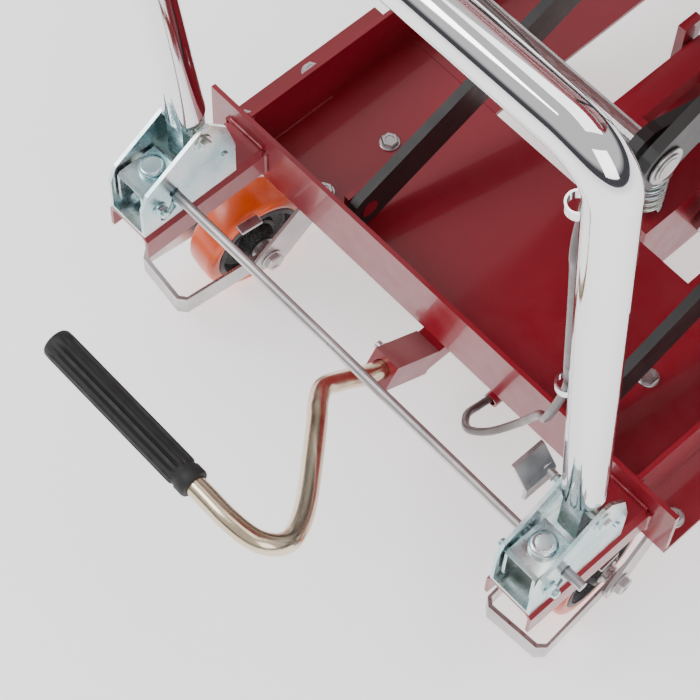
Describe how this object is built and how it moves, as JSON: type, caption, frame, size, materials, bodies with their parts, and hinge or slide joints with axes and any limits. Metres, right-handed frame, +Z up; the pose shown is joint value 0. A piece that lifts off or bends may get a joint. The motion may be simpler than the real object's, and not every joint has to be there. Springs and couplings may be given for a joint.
{
  "type": "hydraulic scissor lift trolley",
  "caption": "Foot-pumped scissor lift trolley with a folding push handle, latch brackets, braked casters and a raised platform",
  "frame": {"origin": "middle of the bounding box on the floor", "axes": "+Z up, +Y from the push handle to the rear end, +X to the right of a person standing at the handle"},
  "size_m": [0.4972, 1.218, 0.8608],
  "materials": {
    "red_paint": "glossy crimson powder coat",
    "black_paint": "semi-gloss black",
    "zinc": "bright bluish zinc plate",
    "chrome": "polished chrome",
    "gold_zinc": "pale gold zinc plate",
    "steel": "plain plated steel",
    "orange_tread": "orange cast tread",
    "black_core": "black core",
    "rubber": "matt ribbed rubber",
    "cable": "dark plastic sheath"
  },
  "bodies": {
    "frame": {"front_deck": "red_paint", "rear_deck": "red_paint", "side_rail_left": "red_paint", "side_rail_right": "red_paint", "handle_mount_left": "red_paint", "handle_mount_right": "red_paint", "bracket_left": "zinc", "bracket_right": "zinc", "pump_block": "red_paint", "cable_lower": "cable", "front_left_plate": "zinc", "front_right_plate": "zinc", "rear_left_fork": "zinc", "rear_right_fork": "zinc"},
    "handle": {"handle_tube": "chrome", "handle_foot_left": "zinc", "handle_foot_right": "zinc", "cable_upper": "cable"},
    "release_lever": {"release_lever": "zinc"},
    "latch": {"latch_rod": "steel", "latch_block_left": "zinc", "latch_block_right": "zinc"},
    "release_tab": {"release_tab": "steel"},
    "pedal": {"pedal_lever": "red_paint", "pedal_tube": "gold_zinc", "pedal_grip": "rubber"},
    "plunger": {"pump_plunger": "steel", "plunger_spring": "zinc"},
    "lower_outer": {"lower_outer_arm_left": "black_paint", "lower_outer_arm_right": "black_paint", "lower_centre_shaft": "steel", "lift_shaft": "steel", "middle_rear_shaft": "steel"},
    "lower_inner": {"lower_inner_frame": "black_paint", "lower_roller_shaft": "steel", "middle_front_shaft": "steel"},
    "upper_outer": {"upper_outer_arm_left": "black_paint", "upper_outer_arm_right": "black_paint", "upper_centre_shaft": "steel", "upper_roller_shaft": "steel"},
    "upper_inner": {"upper_inner_frame": "black_paint", "top_pivot_shaft": "steel"},
    "platform": {"platform": "red_paint"},
    "cylinder": {"lift_cylinder": "steel"},
    "ram": {"lift_ram": "chrome"},
    "front_left_caster": {"front_left_fork": "zinc", "front_left_axle": "zinc"},
    "front_left_wheel": {"front_left_tread": "orange_tread", "front_left_core": "black_core"},
    "front_left_brake": {"front_left_brake": "zinc"},
    "rear_left_wheel": {"rear_left_tread": "orange_tread", "rear_left_core": "black_core"},
    "front_right_caster": {"front_right_fork": "zinc", "front_right_axle": "zinc"},
    "front_right_wheel": {"front_right_tread": "orange_tread", "front_right_core": "black_core"},
    "front_right_brake": {"front_right_brake": "zinc"},
    "rear_right_wheel": {"rear_right_tread": "orange_tread", "rear_right_core": "black_core"}
  },
  "joints": [
    {"name": "lift", "type": "hinge", "parent": "frame", "child": "lower_outer", "pos_m": [0.0195, -0.32104, 0.1565], "axis": [1, 0, 0], "range_deg": [-16.5, 16]},
    {"name": "lower_cross", "type": "hinge", "parent": "lower_outer", "child": "lower_inner", "pos_m": [0.0195, 0.09619, 0.32507], "axis": [1, 0, 0], "range_deg": [-34, 36]},
    {"name": "middle_pivot", "type": "hinge", "parent": "lower_inner", "child": "upper_outer", "pos_m": [0.0195, -0.32104, 0.49365], "axis": [1, 0, 0], "range_deg": [-36, 34]},
    {"name": "upper_cross", "type": "hinge", "parent": "upper_outer", "child": "upper_inner", "pos_m": [0.0195, 0.09619, 0.66222], "axis": [1, 0, 0], "range_deg": [-34, 36]},
    {"name": "platform_level", "type": "hinge", "parent": "upper_inner", "child": "platform", "pos_m": [0, -0.32104, 0.83079], "axis": [1, 0, 0], "range_deg": [-18, 18]},
    {"name": "cylinder_tilt", "type": "hinge", "parent": "frame", "child": "cylinder", "pos_m": [0.078, -0.11104, 0.099], "axis": [1, 0, 0], "range_deg": [-21.4, 20.7]},
    {"name": "ram_slide", "type": "slide", "parent": "cylinder", "child": "ram", "axis": [0, 0.8181, 0.5751], "range_m": [-0.0461, 0.0447]},
    {"name": "handle_fold", "type": "hinge", "parent": "frame", "child": "handle", "pos_m": [0, -0.41154, 0.238], "axis": [1, 0, 0], "range_deg": [0, 80]},
    {"name": "latch_turn", "type": "hinge", "parent": "frame", "child": "latch", "pos_m": [0, -0.45604, 0.194], "axis": [1, 0, 0], "range_deg": [-20, 5]},
    {"name": "tab_turn", "type": "hinge", "parent": "frame", "child": "release_tab", "pos_m": [0, -0.41154, 0.238], "axis": [1, 0, 0], "range_deg": [-20, 20]},
    {"name": "pedal_press", "type": "hinge", "parent": "frame", "child": "pedal", "pos_m": [0, -0.04904, 0.201], "axis": [1, 0, 0], "range_deg": [0, 8]},
    {"name": "plunger_stroke", "type": "slide", "parent": "frame", "child": "plunger", "axis": [0, 0, 1], "range_m": [-0.014, 0.0005], "deforming": ["plunger_spring"]},
    {"name": "release_pull", "type": "hinge", "parent": "handle", "child": "release_lever", "pos_m": [-0.03, -0.44771, 0.706], "axis": [1, 0, 0], "range_deg": [-20, 0]},
    {"name": "front_left_swivel", "type": "hinge", "parent": "frame", "child": "front_left_caster", "pos_m": [-0.1885, -0.29214, 0.1296], "axis": [0, 0, 1], "continuous": true},
    {"name": "front_left_spin", "type": "hinge", "parent": "front_left_caster", "child": "front_left_wheel", "pos_m": [-0.19582, -0.36176, 0.05], "axis": [0.9945, -0.1045, 0], "continuous": true},
    {"name": "front_left_brake_press", "type": "hinge", "parent": "front_left_caster", "child": "front_left_brake", "pos_m": [-0.19582, -0.36176, 0.05], "axis": [0.9945, -0.1045, 0], "range_deg": [-8, 8]},
    {"name": "rear_left_spin", "type": "hinge", "parent": "frame", "child": "rear_left_wheel", "pos_m": [-0.1885, 0.51696, 0.05], "axis": [1, 0, 0], "continuous": true},
    {"name": "front_right_swivel", "type": "hinge", "parent": "frame", "child": "front_right_caster", "pos_m": [0.1885, -0.29214, 0.1296], "axis": [0, 0, 1], "continuous": true},
    {"name": "front_right_spin", "type": "hinge", "parent": "front_right_caster", "child": "front_right_wheel", "pos_m": [0.19338, -0.36197, 0.05], "axis": [0.9976, 0.0698, 0], "continuous": true},
    {"name": "front_right_brake_press", "type": "hinge", "parent": "front_right_caster", "child": "front_right_brake", "pos_m": [0.19338, -0.36197, 0.05], "axis": [0.9976, 0.0698, 0], "range_deg": [-8, 8]},
    {"name": "rear_right_spin", "type": "hinge", "parent": "frame", "child": "rear_right_wheel", "pos_m": [0.1885, 0.51696, 0.05], "axis": [1, 0, 0], "continuous": true}
  ],
  "couplings": [
    {"joint": "lower_cross", "follows": "lift", "ratio": -2},
    {"joint": "middle_pivot", "follows": "lift", "ratio": 2},
    {"joint": "upper_cross", "follows": "lift", "ratio": -2},
    {"joint": "platform_level", "follows": "lift", "ratio": 1},
    {"joint": "cylinder_tilt", "follows": "lift", "ratio": 1.2342},
    {"joint": "ram_slide", "follows": "lift", "m_per_rad": 0.153},
    {"joint": "plunger_stroke", "follows": "pedal_press", "m_per_rad": -0.097}
  ]
}
